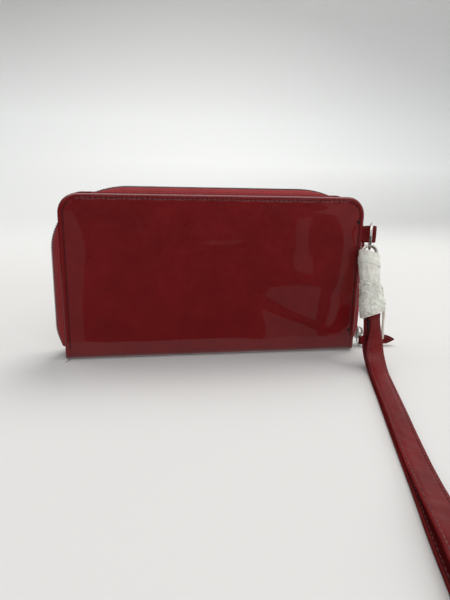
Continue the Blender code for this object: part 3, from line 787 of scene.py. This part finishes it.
HOOK_TOP = RING_LOW.z + WIRE + 1.2
HOOK_R = 4.8
shank = [(CX + HOOK_R, CY, HOOK_TOP - HOOK_R - 15.5 + i * 2.2) for i in range(7)]
arch = [(CX + HOOK_R * cos(a), CY, HOOK_TOP - HOOK_R + HOOK_R * sin(a))
        for a in (pi * i / 22 for i in range(23))]
nose = [(CX - HOOK_R, CY, HOOK_TOP - HOOK_R - d) for d in (1.0, 2.0, 2.8)]
radii = [1.25] * 5 + [1.15, 1.1] + [1.0 + 0.12 * sin(pi * i / 22) for i in range(23)] + [1.0, 1.05, 0.7]
base_z = HOOK_TOP - HOOK_R - 15.0


def turned(profile):
    """A lathe-turned piece on the clasp's own line: profile is (radius, height)."""
    return skin([[(CX + r * cos(a), CY + r * sin(a), z) for a in around(24)] for r, z in profile])


piece("clasp_hook_cast", *leaned(merge([
    tube(shank + arch + nose, radii, 14),
    rounded_box((CX - 2.4, CY - 1.5, base_z - 2.2), (CX + HOOK_R + 1.2, CY + 1.5, base_z + 1.6), 0.7, 3),
    turned([(1.6, base_z - 5.0), (2.6, base_z - 4.8), (2.7, base_z - 4.0), (2.1, base_z - 3.2),
            (2.6, base_z - 2.4), (2.4, base_z - 1.2)]),
])), NICKEL, "clasp", "nickel_hardware", "clasp_hook")
piece("clasp_gate_bar", *leaned(merge([
    rounded_box((CX - HOOK_R - 0.8, CY - 0.9, base_z - 1.8),
                (CX - HOOK_R + 0.8, CY + 0.9, HOOK_TOP - HOOK_R - 3.4), 0.6, 3),
    tube([(CX - HOOK_R - 1.4, CY, base_z + 4.6), (CX - HOOK_R - 0.4, CY, base_z + 4.6)], [0.8, 0.6], 12),
])), NICKEL, "gate", "nickel_hardware", "clasp_gate")
EYE_TURN = radians(3.5)  # the eye's heading, about the clasp's length
eye_top = base_z - 5.3
EYE_Z = eye_top - 7.0
w = Vector((cos(EYE_TURN), -sin(EYE_TURN), 0))
corners = []
for a in around(44):
    c, s, reach = squircle(a, 6)
    corners.append(Vector((CX, CY, (eye_top - 1.2 + EYE_Z) / 2 + 2.9 * reach * s)) + w * (7.0 * reach * c))
piece("clasp_eye_wire", *leaned(merge([
    tube(corners, 0.8, 12, True),
    turned([(1.4, eye_top - 2.2), (2.2, eye_top - 1.9), (2.3, eye_top - 0.9), (1.7, eye_top - 0.1)]),
])), NICKEL, "swivel", "nickel_hardware", "clasp_swivel_eye")

# ---- wrist strap

STRAP_W, STRAP_T = 10.8, 1.6
STRAP_HEADING = radians(17.1)  # the way it runs along the table
STRAP_BEND = 30.0  # it turns to that heading over this distance
REACH = 210.0  # from the eye to the loop's far end
TIP_R, FOLD_R = 12.0, 1.875  # the bends at the far end and round the eye
EYE = Vector(lean((CX, CY, EYE_Z)))
# The middle line's Bezier points, as (far, height), from the eye down to the table.
HANG = ((0.0, EYE.z), (7.5, 14.0), (11.0, 1.0), (40.0, 2.03))
FLOOR_GAP = 0.25


def hang(t):
    """A point of the loop's middle line where it hangs, as (far, height)."""
    weights = ((1 - t) ** 3, 3 * t * (1 - t) ** 2, 3 * t * t * (1 - t), t ** 3)
    return [sum(k * p[i] for k, p in zip(weights, HANG)) for i in (0, 1)]


def plan(far):
    """Sideways drift of the strap as it bends from the eye's heading to its own."""
    a, b = tan(EYE_TURN), tan(STRAP_HEADING)
    if far <= 0:
        return a * far
    if far < STRAP_BEND:
        return a * far + (b - a) * far * far / (2 * STRAP_BEND)
    return (a + b) / 2 * STRAP_BEND + b * (far - STRAP_BEND)


def half_gap(index, far):
    """Half the distance between the two runs' middles."""
    apart = 1.15 * smooth(index, 0.8, 1.9) * (1 - smooth(index, 6.0, 9.5))
    return 0.975 + apart + 0.9 * (1 - smooth(index, 0.0, 2.0)) + 2.3 * smooth(far, 122.0, 180.0)


def strap_line():
    """The loop's middle line as (far, height, run): up one run, round the end, back, round the eye."""
    middle = []
    for k in range(61):
        far, height = hang(k / 60)
        gap = half_gap(k / 6, far)
        floor_height = FLOOR_GAP + STRAP_T / 2 + gap
        middle.append((far, height + (max(height, floor_height) - height) * smooth(far, 12.0, 24.0), gap))
    for k in range(1, 75):
        far = 40 + (REACH - 22 - 40) * k / 74
        gap = half_gap(11, far)
        middle.append((far, FLOOR_GAP + STRAP_T / 2 + gap, gap))
    runs = {1: [], -1: []}
    for i, (far, height, gap) in enumerate(middle):
        f0, z0, _ = middle[max(i - 2, 0)]
        f1, z1, _ = middle[min(i + 2, len(middle) - 1)]
        size = hypot(f1 - f0, z1 - z0)
        flat = smooth(far, 34.0, 52.0)
        nf, nz = -(z1 - z0) / size * (1 - flat), (f1 - f0) / size * (1 - flat) + flat
        for side in (1, -1):
            runs[side].append((far + side * nf * gap, height + side * nz * gap))
    end_far, end_z, end_gap = middle[-1]
    tip = [(end_far + TIP_R * sin(a), end_z + end_gap * cos(a))
           for a in (pi * k / 24 for k in range(1, 24))]
    fold = [(FOLD_R * cos(a), EYE.z + FOLD_R * sin(a))
            for a in (pi + LEAN * 0.8 - pi * k / 14 for k in range(1, 14))]
    return runs, tip, fold


HANGING = [hang(k / 200) for k in range(201)]


def hang_far(z):
    """How far out the loop's middle is at a height."""
    return min(HANGING, key=lambda p: abs(p[1] - z))[0]


def twist(z):
    """Between the eye and the table the strap turns its face to the right, which shows both plies' edges."""
    return radians(42.0) * smooth(z, 1.0, 24.0) * (1 - smooth(z, 27.0, 37.0))


def strap_point(far, z, across_mm, normal_mm, nf, nz, shift=0.0):
    """A point of the strap: across its width and along its own normal."""
    reach = far + nf * normal_mm
    turn = atan((plan(far + 1) - plan(far - 1)) / 2)
    across_mm += shift
    x, y = -plan(reach) + cos(turn) * across_mm, -reach - sin(turn) * across_mm
    turned = twist(z) * (1 - smooth(reach, 5.0, 19.0))
    if turned:
        middle = hang_far(z)
        c, k = cos(turned), sin(turned)
        dx, dy = x + plan(middle), y + middle
        x, y = -plan(middle) + c * dx - k * dy, -middle + k * dx + c * dy
    return (CX + x, EYE.y + y, z + nz * normal_mm)


def crease(q):
    """Sharp folds: 1 along a crease, falling off on both sides."""
    return 1.0 - min(abs(noise.noise(q)) * 2.6, 1.0)


SEAM_IN = 1.35  # the strap's seams run this far inside its edges
STRAP_ACROSS = [-1, -0.97, -0.9, -0.8, -0.74, -0.66, -0.35, 0, 0.35, 0.66, 0.74, 0.8, 0.9, 0.97, 1]


def strap_frame(line, run, i):
    """At a point of the loop: where it is, its normal, how far it is the lower run, and its sideways shift."""
    n = len(line)
    far, z = line[i]
    f0, z0 = line[i - 1]
    f1, z1 = line[(i + 1) % n]
    size = hypot(f1 - f0, z1 - z0)
    lower = smooth(i, run + 6, run + 40) - smooth(i, n - 40, n - 6)
    shift = -0.7 * lower + 0.35 * noise.noise(Vector((far / 40, 0.5 + lower, 1.0)))
    return far, z, -(z1 - z0) / size, (f1 - f0) / size, lower, shift


def strap_mesh():
    """The loop's surface, with dropped edges, sewn channels and worn creases."""
    runs, tip, fold = strap_line()
    line = runs[1] + tip + runs[-1][::-1] + fold
    sections = []
    for i in range(len(line)):
        far, z, nf, nz, lower, shift = strap_frame(line, len(runs[1]), i)
        worn = smooth(far, 84, 100) * (1 - smooth(far, 122, 136)) + smooth(far, 134, 146) * (1 - smooth(far, 158, 170))
        section = []
        for face in (1, -1):
            for v in STRAP_ACROSS[::face]:
                inset = STRAP_W / 2 * (1 - abs(v))
                puff = STRAP_T / 2 - 0.42 * bell(inset, 0, 0.35) - 0.16 * bell(inset, SEAM_IN, 0.32)
                puff += smooth(inset, 0.5, 2.5) * (
                    0.10 * noise.noise(Vector((far / 7, v * 1.5, 3.0 + lower)))
                    + 0.05 * noise.noise(Vector((far / 2.2, v * 2, 9.0)))
                    - 0.40 * worn * crease(Vector((far / 5.0 + v * 0.9, v * 1.1 - far / 30, 5.0 + lower * 3))))
                section.append(strap_point(far, z, v * STRAP_W / 2, face * puff, nf, nz, shift))
        sections.append(section)
    return skin(sections, closed=True), line, len(runs[1])


strap_skin, loop, run_length = strap_mesh()
piece("wrist_strap_leather", *strap_skin, STRAP, "strap", "strap_leather", "wrist_strap")


def strap_seam(v, outside, first, last):
    """The path of one seam, and the surface normal along it."""
    path, out = [], []
    for i in range(first, last):
        far, z, nf, nz, _, shift = strap_frame(loop, run_length, i)
        base, tip = (Vector(strap_point(far, z, v, outside * (STRAP_T / 2 + lift), nf, nz, shift))
                     for lift in (-0.1, 0.9))
        path.append(base)
        out.append((tip - base).normalized())
    return path, out


STRAP_STITCH = 2.6
seams = []
for v in (-STRAP_W / 2 + SEAM_IN, STRAP_W / 2 - SEAM_IN):
    for outside in (1, -1):
        path, out = strap_seam(v, outside, 12, len(loop) - 12)
        at, total = stations(path)
        for k in range(int(total / STRAP_STITCH)):
            start = k * STRAP_STITCH
            normal = out[at(start)[2]]
            line, radii = [], []
            for i in range(5):
                t = i / 4
                line.append(at(start + 1.9 * t)[0] + normal * (0.17 * sin(pi * t) - 0.04))
                radii.append(0.19 * (0.6 + 0.4 * sin(pi * (0.12 + 0.76 * t))))
            seams.append(tube(line, radii, 5))
piece("wrist_strap_stitches", *merge(seams), THREAD, "strap", "strap_leather")

# ---- packing foam round the clasp


def foam_tube(levels, seed, crumple, fine, turns=1.12, steps=150, rows=110, squash=1.0, slant=0.25):
    """A sheet wrapped a little more than once round: levels are (z, x, y, rx, ry, power)."""
    sections = []
    for r in range(rows + 1):
        t = r / rows * (len(levels) - 1)
        k = min(int(t), len(levels) - 2)
        f = t - k
        f = f * f * (3 - 2 * f)
        z, x, y, rx, ry, power = (a + (b - a) * f for a, b in zip(levels[k], levels[k + 1]))
        row = []
        for i in range(steps + 1):
            c, s, reach = squircle(2 * pi * turns * i / steps - 0.9, power)
            spiral = 0.45 * i / steps
            q = Vector((c * 1.6, s * 1.6, z * squash / 7.0 + seed + slant * c))
            warp = noise.noise(q * 0.8) * 0.7
            q += Vector((warp, -warp, warp * 0.6))
            ridge = crumple * (crease(q) - 0.5) + fine * (crease(q * 2.3 + Vector((4.0, 1.0, 2.0))) - 0.5)
            ridge += 0.45 * fine * (crease(q * 5.1 + Vector((1.0, 7.0, 3.0))) - 0.5)
            ridge = max(ridge, -0.3)
            row.append((x + (rx + spiral + ridge) * reach * c, y + (ry + spiral + ridge * 0.8) * reach * s,
                        z + 0.4 * crumple * noise.noise(q * 1.7)))
        sections.append(row)
    return sections


def foam_piece(name, sections, body=None, cad=None):
    """A sheet of foam or tape, attached to a body if one is given, else with its transform baked into the mesh."""
    obj = piece(name, *skin(sections, wrap=False), FOAM)
    thicken(obj, FOAM_THICK, 0.0)
    if body:
        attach(obj, body)
    else:
        Vector(lean((CX, CY, EYE_Z + 4.0))) * MM
        Vector(lean((CX, CY, EYE_Z - 5.0))) * MM
        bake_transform(obj)
    if cad:
        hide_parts(cad)


WX, WY = CX, CY - 0.8


def tilt_rows(rows, low, high, rise):
    """Lifts the -X side of the rows above low, or drops it below, by up to rise, and leans them all."""
    made = []
    for row in rows:
        line = []
        for x, y, z in row:
            share = smooth(z, low, high) if high > low else 1 - smooth(z, high, low)
            line.append(lean((x, y, z + rise * share * (WX - x) / 8.0)))
        made.append(line)
    return made


foam_piece("packing_foam_roll", tilt_rows(foam_tube([
    (49.6, WX - 1.2, WY, 5.7, 5.0, 2.3), (52.0, WX - 1.2, WY, 5.8, 5.0, 2.3), (56.0, WX - 1.2, WY, 6.0, 5.1, 2.3),
    (62.0, WX - 1.0, WY, 6.2, 5.1, 2.3), (68.2, WX - 0.7, WY, 6.1, 4.8, 2.2)],
    1.0, 0.30, 0.22, squash=0.25), 61.0, 69.0, 2.6), "clasp", "packing_roll_upper")
band = []
for z in (60.2, 60.6, 64.4, 64.8):
    grow = 0.62 if z in (60.6, 64.4) else 0.46
    row = []
    for i in range(73):
        a = 2 * pi * i / 72
        c, k, reach = squircle(a, 2.3)
        row.append(lean((WX - 1.0 + (6.2 + grow) * reach * c, WY + (5.1 + grow) * reach * k,
                         z + 0.3 * sin(2 * a) - 1.6 * c)))
    band.append(row)
foam_piece("packing_tape_band", band, "clasp")


foam_piece("packing_foam_crumple", tilt_rows(foam_tube([
    (29.0, WX - 0.6, WY - 0.6, 6.4, 5.6, 2.6), (31.0, WX - 0.5, WY - 0.4, 6.9, 6.0, 2.6),
    (35.5, WX - 0.3, WY, 7.6, 6.1, 2.5), (41.0, WX - 0.9, WY, 6.5, 5.6, 2.5),
    (47.5, WX - 1.3, WY, 5.6, 5.1, 2.4), (51.6, WX - 1.3, WY, 5.4, 5.0, 2.4)],
    6.0, 1.15, 0.6, squash=2.9, slant=1.3), 36.0, 29.0, -2.6), cad="packing_wrap_lower")
tail = []
for i in range(26):
    t = i / 25
    x, y, z = lean((WX + 5.2, WY - 2.0, 33.5))
    x, y, z = x + 0.9 * t + 0.4 * sin(5 * t), y - 2.0 * t, z - 21.0 * t
    tail.append([(x, y, z), (x + 1.3 + 0.3 * sin(9 * t), y - 1.0, z + 0.3)])
foam_piece("packing_foam_tail", tail, "strap")

# ---- inside: covers' lining, card pockets, coin divider


def paint(node, look):
    """Gives a CAD node its detailed material."""
    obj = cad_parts[node]
    obj.data.materials.clear()
    obj.data.materials.append(look)


for end in ("front", "back"):
    for node in ("stiffener_board", "lining"):
        paint(f"{end}_{node}", LINING)
    for k in range(1, 5):
        paint(f"{end}_card_pocket_{k}", INNER)
for node, look in (("pocket_front_wall", INNER), ("pocket_back_wall", INNER), ("pocket_gusset", INNER),
                   ("zip_tape_front", TAPE), ("zip_tape_back", TAPE), ("zip_chain", GUNMETAL),
                   ("zip_slider", NICKEL), ("zip_pull", NICKEL)):
    paint(f"coin_{node}", look)

# ---- stage, lights, camera


def stage_material_with_painted_falloff():
    """Pale table and wall with painted light and shade: the tone shifts from left to right, into depth and upwards,
    standing for how the lamps' light falls off across the table and up the wall.
    """
    n = Nodes("studio_floor")
    place = n.node("ShaderNodeSeparateXYZ", {"Vector": n.coordinates}).outputs
    left = n.ramp(place["X"], 0.55, -0.45)
    table = n.blend(left, (0.585, 0.575, 0.565), (0.70, 0.687, 0.674))
    far = n.blend(left, (0.66, 0.665, 0.655), (0.86, 0.865, 0.855))
    near = n.blend(n.ramp(place["Y"], 0.2, 0.9), table, far)
    wall = n.blend(left, (0.96, 0.965, 0.955), (0.92, 0.925, 0.915))
    high = n.blend(left, (0.77, 0.767, 0.755), (0.58, 0.575, 0.565))
    lower = n.blend(n.ramp(place["Z"], 0.0, 0.15), near, wall)
    # Painted shade: the upper wall is darker where the lamps' light falls off.
    n.to("Base Color", n.blend(n.ramp(place["Z"], 0.29, 0.68), lower, high))
    n.set(Roughness=0.9, Specular_IOR_Level=0.1)
    return n.material


def cyclorama():
    """The floor, which curves up into the wall."""
    profile = [(-2500.0, 0.0), (900.0, 0.0)]
    profile += [(900 + 700 * sin(a), 700 - 700 * cos(a))
                for a in (pi / 2 * i / 24 for i in range(1, 25))]
    profile.append((1600.0, 3200.0))
    points, faces = skin([[(x, y, z) for y, z in profile] for x in (-3500.0, 3500.0)], wrap=False)
    return piece("studio_floor", points, faces, stage_material_with_painted_falloff())


floor = cyclorama()
floor.visible_glossy = False


def light(name, place, target, size, power, colour=(1.0, 1.0, 1.0)):
    """A soft light that isn't seen in reflections; the cards below are."""
    data = bpy.data.lights.new(name, "AREA")
    data.shape, data.size, data.size_y = "RECTANGLE", size[0], size[1]
    data.energy, data.color = power, colour
    obj = bpy.data.objects.new(name, data)
    obj.location = place
    obj.rotation_euler = (Vector(target) - Vector(place)).to_track_quat("-Z", "Y").to_euler()
    obj.visible_glossy = False
    scene.collection.objects.link(obj)


light("key", (0.38, 0.48, 1.22), (0, -0.02, 0.05), (0.9, 0.7), 12.5, (1.0, 0.99, 0.97))
light("fill_left", (-0.9, 0.45, 0.9), (-0.12, 0, 0), (0.8, 0.8), 1.6)
light("fill_front", (0.2, -1.3, 0.9), (0.05, 0, 0.1), (1.2, 0.8), 5.6, (0.98, 0.99, 1.0))
light("fill_right", (1.2, -0.4, 0.6), (0, 0, 0.05), (0.7, 0.7), 4.0)


def card(name, points, strength):
    """A plain card that only shows in reflections."""
    material = bpy.data.materials.new(name)
    material.use_nodes = True
    tree = material.node_tree
    tree.nodes.clear()
    glow = tree.nodes.new("ShaderNodeEmission")
    glow.inputs["Color"].default_value = (1.0, 1.0, 1.0, 1.0)
    glow.inputs["Strength"].default_value = strength
    out = tree.nodes.new("ShaderNodeOutputMaterial")
    tree.links.new(glow.outputs[0], out.inputs[0])
    obj = piece(name, points, [tuple(range(len(points)))], material)
    for kind in ("camera", "diffuse", "shadow", "transmission", "volume_scatter"):
        setattr(obj, f"visible_{kind}", False)


CARD_Y = FRONT - 600.0


def upright(x0, z0, x1, z1, y=CARD_Y):
    return [(x0, y, z0), (x1, y, z0), (x1, y, z1), (x0, y, z1)]


def level(x0, y0, x1, y1, z):
    return [(x0, y0, z), (x1, y0, z), (x1, y1, z), (x0, y1, z)]


# The inner edges of the two big cards, as (x, height). They give the curved ends of the face's bands of gloss.
LEFT_EDGE = [(-158, -40), (-155, 0), (-160, 25), (-172, 48), (-190, 66), (-215, 82), (-420, 90)]
card("card_left", [(x, CARD_Y, z) for x, z in ((-420, -300), (-168, -300), *LEFT_EDGE)], 0.17)
RIGHT_EDGE = [(318, -180), (310, -120), (326, -60), (334, 0), (322, 40), (300, 70), (270, 95)]
card("card_right", [(x, CARD_Y, z) for x, z in ((640, 170), (640, -300), (322, -300), *RIGHT_EDGE)], 0.26)
card("card_patch", upright(195.0, -205.0, 290.0, -100.0), 0.21)
card("card_lobe", upright(246.0, -62.0, 275.0, 45.0), 0.18)
card("card_streak", upright(60.0, 0.0, 120.0, 12.0), 0.16)
card("card_floor", level(-400.0, -52.0, 500.0, 300.0, -2.0), 0.34)
card("card_above", level(-800.0, -150.0, 800.0, 900.0, 700.0), 0.9)
card("card_above_bright", level(-500.0, -140.0, 500.0, 160.0, 650.0), 3.0)
card("card_front_high", upright(-700.0, 230.0, 900.0, 900.0), 1.0)
card("card_behind", upright(-800.0, -100.0, 800.0, 700.0, 600.0), 0.30)
card("card_beside", [(500.0, y, z) for y, z in ((-120.0, -100.0), (600.0, -100.0), (600.0, 700.0), (-120.0, 700.0))],
     0.9)

world = bpy.data.worlds.new("studio_air")
scene.world = world
world.use_nodes = True
tree = world.node_tree
# The air lights the object, and is dim where it is seen in a reflection.
rays = tree.nodes.new("ShaderNodeLightPath")
mix = tree.nodes.new("ShaderNodeMixShader")
tree.links.new(rays.outputs["Is Glossy Ray"], mix.inputs[0])
for socket, air, colour, strength in ((1, tree.nodes["Background"], (0.93, 0.95, 0.96, 1.0), 0.55),
                                      (2, tree.nodes.new("ShaderNodeBackground"), (0.03, 0.028, 0.028, 1.0), 0.5)):
    air.inputs["Color"].default_value = colour
    air.inputs["Strength"].default_value = strength
    tree.links.new(air.outputs[0], mix.inputs[socket])
tree.links.new(mix.outputs[0], tree.nodes["World Output"].inputs["Surface"])

scene.view_settings.view_transform = "Standard"
camera_data = bpy.data.cameras.new("camera")
camera_data.lens = 29.54
camera_data.clip_start, camera_data.clip_end = 0.01, 50.0
camera = bpy.data.objects.new("camera", camera_data)
right = Vector((0.98718, -0.15808, 0.02205))
up = Vector((0.01777, 0.24620, 0.96906))
back = Vector((-0.15862, -0.95624, 0.24585))
facing = Matrix((right, up, back)).transposed().to_4x4()
camera.matrix_world = Matrix.Translation(Vector((-44.82, -313.75, 115.15)) * MM) @ facing
scene.collection.objects.link(camera)
scene.camera = camera
